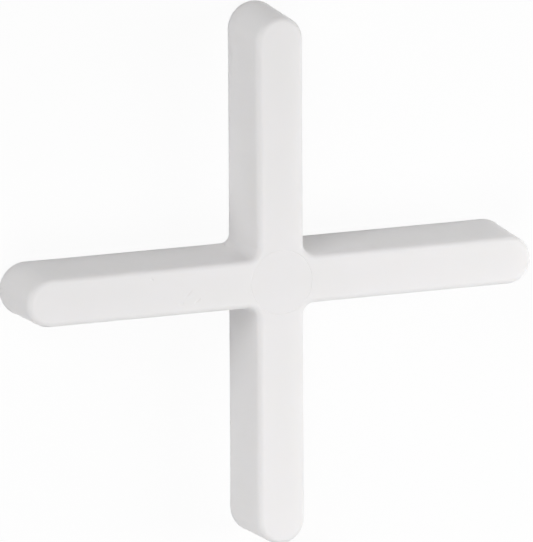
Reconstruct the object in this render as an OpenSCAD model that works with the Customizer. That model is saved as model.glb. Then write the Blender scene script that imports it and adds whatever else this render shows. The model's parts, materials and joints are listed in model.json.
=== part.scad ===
// Cross-shaped tile spacer, moulded in one piece.
// It lies on its back face. The origin is at the middle of that face, +Z runs through
// the thickness to the front face, and the arms run along X and Y.

/* [Joint] */
// Width of an arm at the back face, which is the gap that it sets between two tiles
joint_w = 3; // [1.5:0.5:8]
// Length from the tip of one arm to the tip of the opposite arm
span = 30; // [24:1:60]
// Thickness from the back face to the front face
thickness = 4.2; // [2.5:0.1:8]

/* [Moulding] */
// Lean of each side towards the middle of the arm, which frees the part from its mould
draft_angle = 2; // [0.5:0.25:3]
// Radius of the fillet in each corner between two arms
corner_r = 0.5; // [0.3:0.05:1.5]
// Radius round the edge of the front face
front_edge_r = 0.35; // [0.1:0.05:0.5]
// Radius round the edge of the back face
back_edge_r = 0.1; // [0.05:0.05:0.3]

/* [Ejector mark] */
// Flat rim left between the witness groove and the round edges at the corners
mark_rim = 0.02; // [0.02:0.01:0.3]
// Depth to which the ejector pin pressed the face inside the groove
mark_depth = 0.01; // [0.01:0.01:0.03]
// Radius of the fine witness groove that the pin's edge leaves in the front face
witness_r = 0.04; // [0.04:0.01:0.08]

/* [Gate mark] */
// Diameter of the dimple round the gate, in the back face
gate_dimple_d = 1.6; // [1.2:0.1:2.4]
// Depth of the dimple
gate_dimple_depth = 0.25; // [0.15:0.05:0.5]
// Diameter of the stub where the gate broke off
gate_stub_d = 0.8; // [0.4:0.1:1]
// Gap between the top of the stub and the back face
gate_stub_gap = 0.1; // [0.05:0.05:0.15]

/* [Hidden] */
$fn = 96;

plastic_white = [0.93, 0.93, 0.925];
// Overlap of a cutting body past the face that it cuts
past = 1;
// How far a leaning side lies inside the rounds at its edges, so that the two cross cleanly
seat = 0.0001;
// Step to which the middle of a round is placed, so that neighbouring solids meet exactly
place_step = 0.0001;

half_w = joint_w / 2;
// Middle of an arm's round end, measured from the middle of the cross
tip_x = span / 2 - half_w;
// Middle of a corner fillet, measured along X and along Y
fillet_x = half_w + corner_r;

// Half of an arm's width at height z, were the edges left sharp
function side_x(z) = half_w - z * tan(draft_angle);
// Middle of the round of radius r whose middle is at height z, as it touches the leaning side
function round_x(z, r) = round((side_x(z) - r / cos(draft_angle)) / place_step) * place_step;
function front_round_x() = round_x(thickness - front_edge_r, front_edge_r);
function back_round_x() = round_x(back_edge_r, back_edge_r);

// Radius of a corner fillet where it meets the front face and the back face
fillet_front_r = fillet_x - front_round_x();
fillet_back_r = fillet_x - back_round_x();
// The pin is the widest that the flat of the crossing holds, less its groove and rim
mark_r = fillet_x * sqrt(2) - fillet_front_r - witness_r - mark_rim;

// Half of the section across an arm: the middle of the arm is on x = 0
module half_section() {
    front_z = thickness - front_edge_r;
    lean = [cos(draft_angle), sin(draft_angle)];
    polygon([
        [0, 0],
        [back_round_x(), 0],
        [back_round_x(), back_edge_r] + (back_edge_r - seat) * lean,
        [front_round_x(), front_z] + (front_edge_r - seat) * lean,
        [front_round_x(), thickness],
        [0, thickness],
    ]);
    translate([front_round_x(), front_z]) circle(front_edge_r);
    translate([back_round_x(), back_edge_r]) circle(back_edge_r);
}

// Two opposite arms, as a straight bar between the middles of their round ends
module bar() {
    rotate([90, 0, 90])
        linear_extrude(height = 2 * tip_x, center = true) {
            half_section();
            mirror([1, 0]) half_section();
        }
}

// Round end of the arm that runs along +X
module tip() {
    translate([tip_x, 0, 0])
        rotate([0, 0, -90])
            rotate_extrude(angle = 180) half_section();
}

// What the mould leaves free in the corner between the +X and +Y arms, as a turned body
module corner_void() {
    translate([fillet_x, fillet_x, 0])
        rotate_extrude()
            difference() {
                union() {
                    translate([0, thickness / 2])
                        square([fillet_front_r, thickness / 2 + past]);
                    translate([0, -past])
                        square([fillet_back_r, thickness / 2 + past]);
                }
                translate([fillet_x, 0]) mirror([1, 0]) half_section();
            }
}

// The crossing, with a fillet in each corner
module crossing() {
    difference() {
        translate([-fillet_x, -fillet_x, 0])
            cube([2 * fillet_x, 2 * fillet_x, thickness]);
        for (a = [0:90:270]) rotate([0, 0, a]) corner_void();
    }
}

// Face of the ejector pin, pressed a little into the front face, and the groove at its edge
module ejector_mark() {
    translate([0, 0, thickness - mark_depth])
        cylinder(r = mark_r, h = mark_depth + past);
    translate([0, 0, thickness])
        rotate_extrude() translate([mark_r, 0]) circle(witness_r);
}

// Dimple in the back face, with the stub of the gate left standing in it
module gate_mark() {
    difference() {
        translate([0, 0, -past])
            cylinder(d = gate_dimple_d, h = gate_dimple_depth + past);
        translate([0, 0, gate_stub_gap])
            cylinder(d = gate_stub_d, h = gate_dimple_depth);
    }
}

module cross_spacer() {
    color(plastic_white)
        difference() {
            union() {
                for (a = [0, 90]) rotate([0, 0, a]) bar();
                for (a = [0:90:270]) rotate([0, 0, a]) tip();
                crossing();
            }
            ejector_mark();
            gate_mark();
        }
}

cross_spacer();
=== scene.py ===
"""A cross-shaped tile spacer of moulded white plastic, lying on its back on a pale floor.

Laid out as an add-on and run as a script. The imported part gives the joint, the span, the
thickness and the lean of the sides. All lengths are in metres, and +Z runs from the back face
up to the front face.
"""

import json
import math

import bmesh
import bpy
from bpy.props import FloatProperty, FloatVectorProperty, IntProperty, PointerProperty
from bpy.types import Operator, Panel, PropertyGroup
from mathutils import Euler, Matrix, Vector

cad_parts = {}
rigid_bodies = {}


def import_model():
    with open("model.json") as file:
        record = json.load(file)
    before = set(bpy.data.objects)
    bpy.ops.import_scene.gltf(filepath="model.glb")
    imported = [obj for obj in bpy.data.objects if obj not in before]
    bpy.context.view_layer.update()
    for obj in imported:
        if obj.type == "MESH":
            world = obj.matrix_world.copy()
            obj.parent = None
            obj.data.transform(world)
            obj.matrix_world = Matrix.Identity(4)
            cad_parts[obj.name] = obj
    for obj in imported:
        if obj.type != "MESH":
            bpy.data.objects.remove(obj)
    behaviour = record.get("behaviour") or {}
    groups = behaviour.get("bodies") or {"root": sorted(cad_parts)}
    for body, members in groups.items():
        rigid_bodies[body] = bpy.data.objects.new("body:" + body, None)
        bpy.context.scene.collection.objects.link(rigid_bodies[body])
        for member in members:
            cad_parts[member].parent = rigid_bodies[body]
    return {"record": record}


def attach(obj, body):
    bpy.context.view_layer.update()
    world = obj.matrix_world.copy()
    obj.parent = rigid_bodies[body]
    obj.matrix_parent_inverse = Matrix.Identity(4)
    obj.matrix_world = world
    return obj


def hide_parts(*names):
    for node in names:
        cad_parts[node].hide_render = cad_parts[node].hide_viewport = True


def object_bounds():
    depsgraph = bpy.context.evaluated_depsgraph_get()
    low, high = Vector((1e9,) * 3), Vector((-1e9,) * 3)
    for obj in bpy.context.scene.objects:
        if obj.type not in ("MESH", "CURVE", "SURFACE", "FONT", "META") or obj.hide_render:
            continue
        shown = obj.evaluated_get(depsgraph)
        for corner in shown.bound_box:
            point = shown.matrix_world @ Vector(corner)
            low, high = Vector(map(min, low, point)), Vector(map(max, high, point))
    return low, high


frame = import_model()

bl_info = {
    "name": "Moulded Tile Spacer",
    "version": (1, 0, 0),
    "blender": (4, 5, 0),
    "location": "View3D > Sidebar > Spacer",
    "description": "Models a moulded cross-shaped tile spacer on a pale floor",
    "category": "Add Mesh",
}

MM = 0.001
NODE = "cross_spacer"
CAD_LOW, CAD_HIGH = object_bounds()

# A side of an arm, as the record states it: its lean and the joint's width follow
SIDE = next(m for m in frame["record"]["mounts"] if m["name"] == "right_arm_far_side")
LEAN = math.asin(SIDE["axis"][2])
HALF_JOINT = SIDE["pos_m"][1] + SIDE["pos_m"][2] * math.tan(LEAN)

# The four ways that an arm points
ARMS = [Vector((1, 0, 0)), Vector((0, 1, 0)), Vector((-1, 0, 0)), Vector((0, -1, 0))]
# Two points nearer than this are one
TOUCH = 1e-7
# A point this near to the plane through a side's middle lies in the middle row of that side
MIDDLE_ROW = 0.03 * MM
# A face whose normal rises by more than this looks up, and one that falls by more looks down
UPRIGHT = 0.5
# Edges that turn by less than this are one straight edge
STRAIGHT = math.radians(1)
# Faces that meet at less than this are shaded as one smooth face
SMOOTH = math.radians(28)

# Height of the parting line, in radii of the back edge: the mould parts just above its round
PARTING = 1.5
# How far up and down a side its sink fades away, as a share of the thickness
SINK_FADE = 1 / 3

# Steps round the edges, and rows up a side and across a flat face
EDGE_STEPS = 10
SIDE_ROWS = 14
FLAT_ROWS = 5
# On a flat face, how far the first row lies from its edge and the last one from its middle line
FLAT_HOLD = 0.02 * MM
FLAT_CORE = 0.1 * MM

# Steps round the bodies that cut the marks, and their height
PIN_STEPS = 144
GROOVE_STEPS = 16
DIMPLE_STEPS = 96
STUB_STEPS = 48
NICK_STEPS = 24
NICK_RINGS = 16
CUTTER = 2 * MM
# How far the gate's stub stands in its dimple's floor, and how its face tore
STUB_ROOT = 0.05 * MM
STUB_RINGS = 3
TEAR = 0.03 * MM
TEAR_EVENNESS = 0.3
TEAR_SEED = 3

# The nicks in the left arm's front, as the photograph shows them: their middle's x and y and
# their length in millimetres, and their turn from +X in degrees
NICKS = [
    (-5.49, -0.19, 0.58, 41),
    (-5.9, -0.69, 0.34, 10),
    (-4.96, -0.61, 0.44, 35),
    (-7.62, 0.82, 0.2, -30),
]

# The lamps: azimuth from +X and height in degrees, distance and side in metres, watts
LAMPS = {
    "left_behind": (135, 35, 0.5, 0.3, 0.88),
    "left_low": (160, 20, 0.5, 0.3, 0.22),
    "right_near": (0, 35, 0.12, 0.07, 0.09),
    "high_before": (240, 60, 0.12, 0.07, 0.073),
}
FLOOR_SIDE = 8
# How much of the floor's look is plain white. The rest is paper, which takes the shadow
FLOOR_WHITE = 0.93

# The photograph's view: its frame in pixels, and the long lens that its outline fits
FRAME_W, FRAME_H = 533, 542
SCALE_PX_PER_MM = 18.22
DISTANCE = 710 * MM
TURN, NOD, ROLL = math.radians(21.47), math.radians(13.15), math.radians(0.27)
# Where the middle of the front face lies in the picture, from the middle of the frame
OFF_RIGHT, OFF_UP = 0.834 * MM, -0.616 * MM


def linear(hex_text):
    """The linear colour of an sRGB hex text such as #ffffff."""
    parts = [int(hex_text[i:i + 2], 16) / 255 for i in (1, 3, 5)]
    return [c / 12.92 if c <= 0.04045 else ((c + 0.055) / 1.055) ** 2.4 for c in parts]


def length(name, description, default):
    """A length in metres, as a property."""
    return FloatProperty(
        name=name, description=description, default=default, min=0, precision=5,
        subtype="DISTANCE", unit="LENGTH",
    )


def steps(name, description, default):
    """A number of steps or cuts, as a property."""
    return IntProperty(name=name, description=description, default=default, min=1)


def colour(name, description, hex_text):
    """An sRGB colour, as a property that holds it in linear light."""
    return FloatVectorProperty(
        name=name, description=description, default=linear(hex_text), size=3,
        min=0, max=1, subtype="COLOR",
    )


class SpacerSizes(PropertyGroup):
    """Sizes of the moulded cross."""

    joint: length("Joint", "Width of an arm at the back, the tiles' gap", 2 * HALF_JOINT)
    span: length("Span", "From tip to opposite tip", round((CAD_HIGH - CAD_LOW).x, 4))
    thickness: length("Thickness", "From the back face to the front", (CAD_HIGH - CAD_LOW).z)
    corner_r: length("Corner fillet", "Fillet between two arms", 0.5 * MM)
    front_edge_r: length("Front edge", "Radius round the front face", 0.35 * MM)
    back_edge_r: length("Back edge", "Radius round the back face", 0.1 * MM)
    flash: length("Flash", "How far the line of flash stands out at the parting", 0.015 * MM)
    sink: length("Sink", "How far a side's middle sank as the plastic cooled", 0.012 * MM)
    tip_steps: steps("Tip steps", "Steps round an arm's end", 16)
    fillet_steps: steps("Fillet steps", "Steps round a fillet", 12)
    arm_cuts: steps("Arm cuts", "Cuts along a straight side", 31)


class SpacerMarks(PropertyGroup):
    """Marks that the mould and some handling left."""

    groove_r: length("Groove", "Radius of the witness groove of the ejector pin", 0.04 * MM)
    groove_lift: length("Groove lift", "From the face up to the groove's middle", 0.02 * MM)
    rim: length("Rim", "Flat between the groove and the rounded edges", 0.02 * MM)
    pressed: length("Pressed", "How far the pin pressed the face in", 0.01 * MM)
    gate_r: length("Gate dimple", "Radius of the dimple round the gate", 0.8 * MM)
    gate_depth: length("Gate depth", "Depth of the dimple", 0.25 * MM)
    stub_r: length("Gate stub", "Radius of the stub in the dimple", 0.4 * MM)
    stub_gap: length("Stub gap", "From the top of the stub to the back face", 0.1 * MM)
    nick_w: length("Nick width", "Width of a nick in the front face", 0.12 * MM)
    nick_depth: length("Nick depth", "Depth of a nick", 0.02 * MM)


class SpacerColours(PropertyGroup):
    """Colours of the plastic and of the floor."""

    plastic: colour("Plastic", "Colour of the plastic", "#f1eff0")
    clouds: colour("Clouds", "Colour of the plastic where its pigment is thinner", "#eeedec")
    paper: colour("Paper", "Colour of the floor's paper", "#eeeeee")


def sizes():
    return bpy.context.scene.spacer_sizes


def marks():
    return bpy.context.scene.spacer_marks


def colours():
    return bpy.context.scene.spacer_colours


def deselect():
    """Nothing is selected and nothing is active."""
    bpy.ops.object.select_all(action="DESELECT")
    bpy.context.view_layer.objects.active = None


def pick(piece):
    """The piece alone is selected and active."""
    deselect()
    piece.select_set(True)
    bpy.context.view_layer.objects.active = piece


def select(kind, test):
    """In edit mode, selects only the vertices, edges or faces that pass the test."""
    bpy.ops.mesh.select_mode(type=kind)
    bpy.ops.mesh.select_all(action="DESELECT")
    mesh = bpy.context.object.data
    shape = bmesh.from_edit_mesh(mesh)
    parts = {"VERT": shape.verts, "EDGE": shape.edges, "FACE": shape.faces}[kind]
    found = [part for part in parts if test(part)]
    for part in found:
        part.select_set(True)
    shape.select_flush_mode()
    bmesh.update_edit_mesh(mesh)
    if not found:
        raise RuntimeError(f"nothing to select among {kind}")


def outer_reach(point):
    """How far out along X or Y a point lies."""
    return max(abs(point.x), abs(point.y))


def half_width(z):
    """Half of an arm's width at height z, were the edges left sharp."""
    return sizes().joint / 2 - z * math.tan(LEAN)


def edge_round(radius, face_z, up):
    """Half-widths and heights round an edge, from the leaning side to the face."""
    mid_z = face_z - up * radius
    mid_x = half_width(mid_z) - radius / math.cos(LEAN)
    turn = [LEAN + (up * math.pi / 2 - LEAN) * i / EDGE_STEPS for i in range(EDGE_STEPS + 1)]
    return [(mid_x + radius * math.cos(a), mid_z + radius * math.sin(a)) for a in turn]


def front_round():
    return edge_round(sizes().front_edge_r, sizes().thickness, 1)


def back_round():
    return edge_round(sizes().back_edge_r, 0, -1)


def flat_rows(width, z):
    """Half-widths that cover a flat face from its round edge towards its middle."""
    start = width - FLAT_HOLD
    return [(start + (FLAT_CORE - start) * i / FLAT_ROWS, z) for i in range(FLAT_ROWS + 1)]


def step_in(path):
    """Insets the selected face along a path of half-widths and heights."""
    for (wide, low), (narrow, high) in zip(path, path[1:]):
        bpy.ops.mesh.inset(
            thickness=wide - narrow, depth=abs(high - low),
            use_even_offset=True, use_boundary=True,
        )


def round_off(radius, segments):
    """Rounds the selected corners of the outline."""
    bpy.ops.mesh.bevel(
        offset_type="OFFSET", offset=radius, segments=segments, affect="VERTICES",
        clamp_overlap=False,
    )


def outline(half_joint, reach, corner_r):
    """Adds the cross as one flat face: square arms, then round ends and filleted corners."""
    bpy.ops.mesh.primitive_plane_add(size=2 * half_joint)
    piece = bpy.context.object
    bpy.ops.object.mode_set(mode="EDIT")
    for way in ARMS:
        select("EDGE", lambda e: all(
            abs(v.co.dot(way) - half_joint) < TOUCH and outer_reach(v.co) < half_joint + TOUCH
            for v in e.verts
        ))
        bpy.ops.mesh.extrude_region_move(
            TRANSFORM_OT_translate={"value": way * (reach - half_joint)})
    bpy.ops.mesh.select_all(action="SELECT")
    bpy.ops.mesh.dissolve_limited(angle_limit=STRAIGHT)
    select("VERT", lambda v: outer_reach(v.co) > reach - TOUCH)
    round_off(half_joint, sizes().tip_steps)
    select("VERT", lambda v: outer_reach(v.co) < half_joint + TOUCH)
    round_off(corner_r, sizes().fillet_steps)
    bpy.ops.mesh.select_all(action="SELECT")
    bpy.ops.mesh.remove_doubles(threshold=TOUCH)
    select("EDGE", lambda e: e.calc_length() > reach / 2)
    bpy.ops.mesh.subdivide(number_cuts=sizes().arm_cuts)
    return piece


def cross_body():
    """Models the cross from its outline at the parting line, up and down to its two faces."""
    s = sizes()
    half_joint = s.joint / 2
    parting_z = s.back_edge_r * PARTING
    crest = half_width(parting_z) + s.flash
    tip = s.span / 2 - half_joint
    deselect()
    piece = outline(crest, tip + crest, s.corner_r + half_joint - crest)
    piece.name = "moulded_cross"
    bpy.ops.mesh.select_all(action="SELECT")
    bpy.ops.transform.translate(value=(0, 0, parting_z))

    # The same face upside down starts the lower part
    bpy.ops.mesh.duplicate()
    bpy.ops.mesh.flip_normals()
    lower = back_round()
    step_in([(crest, parting_z)] + lower + flat_rows(*lower[-1]))

    upper = front_round()
    foot_z = parting_z + s.flash
    wall = [foot_z + (upper[0][1] - foot_z) * i / SIDE_ROWS for i in range(SIDE_ROWS)]
    side = [(half_width(z), z) for z in wall]
    select("FACE", lambda f: f.normal.z > UPRIGHT)
    step_in([(crest, parting_z)] + side + upper + flat_rows(*upper[-1]))

    bpy.ops.mesh.select_all(action="SELECT")
    bpy.ops.mesh.remove_doubles(threshold=TOUCH)
    bpy.ops.mesh.quads_convert_to_tris(ngon_method="BEAUTY", quad_method="SHORTEST_DIAGONAL")
    bpy.ops.object.mode_set(mode="OBJECT")
    return piece


def sink_sides(piece):
    """Sinks the middle of each arm's sides a little, as thick plastic does when it cools."""
    s = sizes()
    pick(piece)
    bpy.ops.object.mode_set(mode="EDIT")
    middle = half_width(s.thickness / 2)
    # The sink lies between the crossing and the arm's round end
    begin, end = s.joint, s.span / 2 - s.joint
    for way in ARMS:
        side = Vector((-way.y, way.x, 0))
        for turn in (-1, 1):
            select("VERT", lambda v: begin < v.co.dot(way) < end
                   and abs(v.co.dot(side) * turn - middle) < MIDDLE_ROW)
            bpy.ops.transform.translate(
                value=-side * turn * s.sink, use_proportional_edit=True,
                proportional_edit_falloff="SMOOTH", proportional_size=s.thickness * SINK_FADE,
                use_proportional_connected=True,
            )
    bpy.ops.object.mode_set(mode="OBJECT")


def cut(piece, tool, how="DIFFERENCE"):
    """Cuts the tool out of the piece, or joins it on, and deletes the tool."""
    pick(piece)
    change = piece.modifiers.new(tool.name, "BOOLEAN")
    change.operation = how
    change.solver = "EXACT"
    change.object = tool
    bpy.ops.object.modifier_apply(modifier=change.name)
    bpy.data.objects.remove(tool)


def cylinder(middle_z, radius, height, sides):
    """Adds a cylinder that stands on the middle of the cross."""
    deselect()
    bpy.ops.mesh.primitive_cylinder_add(
        location=(0, 0, middle_z), radius=radius, depth=height, vertices=sides,
    )
    return bpy.context.object


def ejector_mark(piece):
    """Cuts the face of the ejector pin and the groove round it into the front."""
    s, m = sizes(), marks()
    fillet_mid = s.joint / 2 + s.corner_r
    fillet_r = fillet_mid - front_round()[-1][0]
    pin_r = fillet_mid * math.sqrt(2) - fillet_r - m.rim - m.groove_r
    deselect()
    bpy.ops.mesh.primitive_torus_add(
        location=(0, 0, s.thickness + m.groove_lift), major_radius=pin_r,
        minor_radius=m.groove_r, major_segments=PIN_STEPS, minor_segments=GROOVE_STEPS,
    )
    cut(piece, bpy.context.object)
    cut(piece, cylinder(s.thickness + CUTTER / 2 - m.pressed, pin_r, CUTTER, PIN_STEPS))


def gate_mark(piece):
    """Cuts the gate's dimple into the back and joins its torn stub to the dimple's floor."""
    m = marks()
    cut(piece, cylinder(m.gate_depth - CUTTER / 2, m.gate_r, CUTTER, DIMPLE_STEPS))
    foot = m.gate_depth + STUB_ROOT
    stub = cylinder((foot + m.stub_gap) / 2, m.stub_r, foot - m.stub_gap, STUB_STEPS)
    bpy.ops.object.mode_set(mode="EDIT")
    select("FACE", lambda f: f.normal.z < -UPRIGHT)
    for _ in range(STUB_RINGS):
        bpy.ops.mesh.inset(thickness=m.stub_r / (STUB_RINGS + 1), use_even_offset=True)
    bpy.ops.mesh.select_more()
    bpy.ops.mesh.select_more()
    bpy.ops.transform.vertex_random(offset=TEAR, uniform=TEAR_EVENNESS, normal=0, seed=TEAR_SEED)
    bpy.ops.object.mode_set(mode="OBJECT")
    cut(piece, stub, "UNION")


def nicks(piece):
    """Cuts the nicks that handling left into the left arm's front."""
    m = marks()
    for x, y, long, turn in NICKS:
        deselect()
        bpy.ops.mesh.primitive_uv_sphere_add(
            segments=NICK_STEPS, ring_count=NICK_RINGS, radius=1,
            location=(x * MM, y * MM, sizes().thickness),
            rotation=(0, 0, math.radians(turn)),
            scale=(long * MM / 2, m.nick_w / 2, m.nick_depth),
        )
        cut(piece, bpy.context.object)


def node(tree, kind, links=None, **settings):
    """Adds a node, sets its settings and sockets, and links the outputs that feed its inputs."""
    made = tree.nodes.new(kind)
    for key, value in settings.items():
        if key in made.inputs:
            made.inputs[key].default_value = value
        else:
            setattr(made, key, value)
    for key, source in (links or {}).items():
        tree.links.new(source, made.inputs[key])
    return made


def new_material(name):
    """A material with an empty node tree and its output node."""
    material = bpy.data.materials.new(name)
    material.use_nodes = True
    material.node_tree.nodes.clear()
    return material, material.node_tree, node(material.node_tree, "ShaderNodeOutputMaterial")


def moulded_polypropylene():
    """White polypropylene: milky, so light softens inside it, and satin from a fine mould."""
    material, tree, out = new_material("moulded_polypropylene")
    # One unit of the pattern's space is a millimetre of the part, so scales count per millimetre
    place = node(tree, "ShaderNodeTexCoord").outputs["Object"]
    place = node(
        tree, "ShaderNodeMapping", links={"Vector": place}, Scale=[1 / MM] * 3).outputs[0]

    # Pigment that isn't quite evenly spread: clouds about 3 mm wide, hardly seen
    clouds = node(tree, "ShaderNodeTexNoise", links={"Vector": place}, Scale=0.3, Detail=3)
    tone = node(tree, "ShaderNodeMix", links={"Factor": clouds.outputs["Fac"]}, data_type="RGBA")
    tone.inputs["A"].default_value = (*colours().plastic, 1)
    tone.inputs["B"].default_value = (*colours().clouds, 1)

    # Skin that is a little shinier in some places than in others, about a millimetre wide
    gloss = node(tree, "ShaderNodeTexNoise", links={"Vector": place}, Scale=0.9, Detail=2)
    rough = node(tree, "ShaderNodeMapRange", links={"Value": gloss.outputs["Fac"]})
    rough.inputs["To Min"].default_value = 0.38
    rough.inputs["To Max"].default_value = 0.5

    # The eroded mould's grain, drawn a tenth of a millimetre wide so that it shows, over the
    # slow waves of a skin that cooled unevenly
    waves = node(tree, "ShaderNodeTexNoise", links={"Vector": place}, Scale=0.6, Detail=1)
    grain = node(tree, "ShaderNodeTexNoise", links={"Vector": place}, Scale=9, Detail=2)
    slow = node(
        tree, "ShaderNodeBump", links={"Height": waves.outputs["Fac"]}, Distance=0.02 * MM)
    fine = node(tree, "ShaderNodeBump", links={
        "Height": grain.outputs["Fac"], "Normal": slow.outputs["Normal"]}, Distance=0.002 * MM)

    surface = node(tree, "ShaderNodeBsdfPrincipled", links={
        "Base Color": tone.outputs["Result"], "Roughness": rough.outputs["Result"],
        "Normal": fine.outputs["Normal"]})
    surface.inputs["IOR"].default_value = 1.49
    # Light wanders about a millimetre inside the milky plastic
    surface.inputs["Subsurface Weight"].default_value = 0.7
    surface.inputs["Subsurface Radius"].default_value = (1, 0.97, 0.93)
    surface.inputs["Subsurface Scale"].default_value = 0.7 * MM
    tree.links.new(surface.outputs["BSDF"], out.inputs["Surface"])
    return material


def plastic_finish(piece):
    """Gives the cross its plastic, with its place in its mesh."""
    pick(piece)
    bpy.ops.object.transform_apply(location=True, rotation=True, scale=True)
    bpy.ops.object.shade_smooth_by_angle(angle=SMOOTH)
    piece.data.materials.clear()
    piece.data.materials.append(moulded_polypropylene())


class SPACER_OT_moulded_cross(Operator):
    """Models the cross, sinks its sides, cuts its marks, finishes it and ties it to the part"""

    bl_idname = "spacer.moulded_cross"
    bl_label = "Moulded cross"

    def execute(self, context):
        piece = cross_body()
        sink_sides(piece)
        ejector_mark(piece)
        gate_mark(piece)
        nicks(piece)
        plastic_finish(piece)
        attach(piece, "root")
        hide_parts(NODE)
        return {"FINISHED"}


def seen(tree):
    """1 for the rays of the camera, of reflections and of what is seen through glass, else 0."""
    ray = node(tree, "ShaderNodeLightPath")
    mirrored = node(tree, "ShaderNodeMath", operation="MAXIMUM", links={
        0: ray.outputs["Is Camera Ray"], 1: ray.outputs["Is Glossy Ray"]})
    either = node(tree, "ShaderNodeMath", operation="MAXIMUM", links={
        0: mirrored.outputs[0], 1: ray.outputs["Is Transmission Ray"]})
    return either.outputs[0]


def paper_floor():
    """Matt white paper. It looks white, with the part's shadow left faint on it."""
    material, tree, out = new_material("paper_floor")
    matt = node(tree, "ShaderNodeBsdfDiffuse", Color=(*colours().paper, 1))
    white = node(tree, "ShaderNodeEmission", Color=(1, 1, 1, 1), Strength=1)
    share = node(tree, "ShaderNodeMath", operation="MULTIPLY", links={0: seen(tree)})
    share.inputs[1].default_value = FLOOR_WHITE
    mix = node(tree, "ShaderNodeMixShader", links={
        0: share.outputs[0], 1: matt.outputs[0], 2: white.outputs[0]})
    tree.links.new(mix.outputs[0], out.inputs["Surface"])
    return material


def white_world():
    """White all round to the camera and in reflections. It lights nothing else."""
    world = bpy.data.worlds.new("studio")
    world.use_nodes = True
    tree = world.node_tree
    tree.nodes.clear()
    white = node(
        tree, "ShaderNodeBackground", Color=(1, 1, 1, 1), links={"Strength": seen(tree)})
    out = node(tree, "ShaderNodeOutputWorld")
    tree.links.new(white.outputs[0], out.inputs["Surface"])
    bpy.context.scene.world = world


def softbox(name, azimuth, height, distance, side, watts):
    """A square lamp that faces the part, at an azimuth from +X and a height, both in degrees."""
    lamp = bpy.data.lights.new(name, "AREA")
    lamp.shape = "SQUARE"
    lamp.size = side
    lamp.energy = watts
    box = bpy.data.objects.new(name, lamp)
    bpy.context.scene.collection.objects.link(box)
    tilt = Euler((math.radians(90 - height), 0, math.radians(azimuth + 90)))
    box.location = tilt.to_matrix() @ Vector((0, 0, distance))
    box.rotation_euler = tilt
    # Reflections see the white surroundings in its place, so that no view has a burnt-out glint
    box.visible_glossy = False


def photo_camera():
    """A camera that sees the part as the photograph does."""
    turned = (Matrix.Rotation(ROLL, 3, "Z") @ Matrix.Rotation(NOD, 3, "X")
              @ Matrix.Rotation(TURN, 3, "Y"))
    lens = bpy.data.cameras.new("photo_view")
    lens.sensor_width = 36
    # The sensor's width is along the longer side of the frame
    lens.lens = (lens.sensor_width * SCALE_PX_PER_MM * (DISTANCE / MM)
                 / max(FRAME_W, FRAME_H))
    lens.clip_start, lens.clip_end = 10 * MM, 20
    camera = bpy.data.objects.new("photo_view", lens)
    bpy.context.scene.collection.objects.link(camera)
    back = turned.transposed()
    front_middle = Vector((0, 0, sizes().thickness))
    place = back @ Vector((-OFF_RIGHT, -OFF_UP, DISTANCE)) + front_middle
    camera.matrix_world = Matrix.Translation(place) @ back.to_4x4()
    bpy.context.scene.camera = camera


class SPACER_OT_stage(Operator):
    """Lays the floor, and sets the lamps, the world and the camera"""

    bl_idname = "spacer.stage"
    bl_label = "Floor, lamps and camera"

    def execute(self, context):
        deselect()
        bpy.ops.mesh.primitive_plane_add(size=FLOOR_SIDE)
        floor = bpy.context.object
        floor.name = "floor"
        floor.data.materials.append(paper_floor())
        white_world()
        for name, setting in LAMPS.items():
            softbox(name, *setting)
        photo_camera()
        bpy.context.scene.view_settings.view_transform = "Standard"
        return {"FINISHED"}


class SPACER_PT_panel(Panel):
    """Lists the sizes, the colours and the steps in the sidebar"""

    bl_idname = "SPACER_PT_panel"
    bl_label = "Tile spacer"
    bl_space_type = "VIEW_3D"
    bl_region_type = "UI"
    bl_category = "Spacer"

    def draw(self, context):
        for group in (sizes(), marks(), colours()):
            for key in group.__annotations__:
                self.layout.prop(group, key)
        for operator in OPERATORS:
            self.layout.operator(operator.bl_idname)


GROUPS = (SpacerSizes, SpacerMarks, SpacerColours)
OPERATORS = (SPACER_OT_moulded_cross, SPACER_OT_stage)
CLASSES = GROUPS + OPERATORS + (SPACER_PT_panel,)


def register():
    for c in CLASSES:
        bpy.utils.register_class(c)
    bpy.types.Scene.spacer_sizes = PointerProperty(type=SpacerSizes)
    bpy.types.Scene.spacer_marks = PointerProperty(type=SpacerMarks)
    bpy.types.Scene.spacer_colours = PointerProperty(type=SpacerColours)


def unregister():
    del bpy.types.Scene.spacer_colours
    del bpy.types.Scene.spacer_marks
    del bpy.types.Scene.spacer_sizes
    for c in reversed(CLASSES):
        bpy.utils.unregister_class(c)


def main():
    register()
    bpy.ops.spacer.moulded_cross()
    bpy.ops.spacer.stage()


if __name__ == "__main__":
    main()
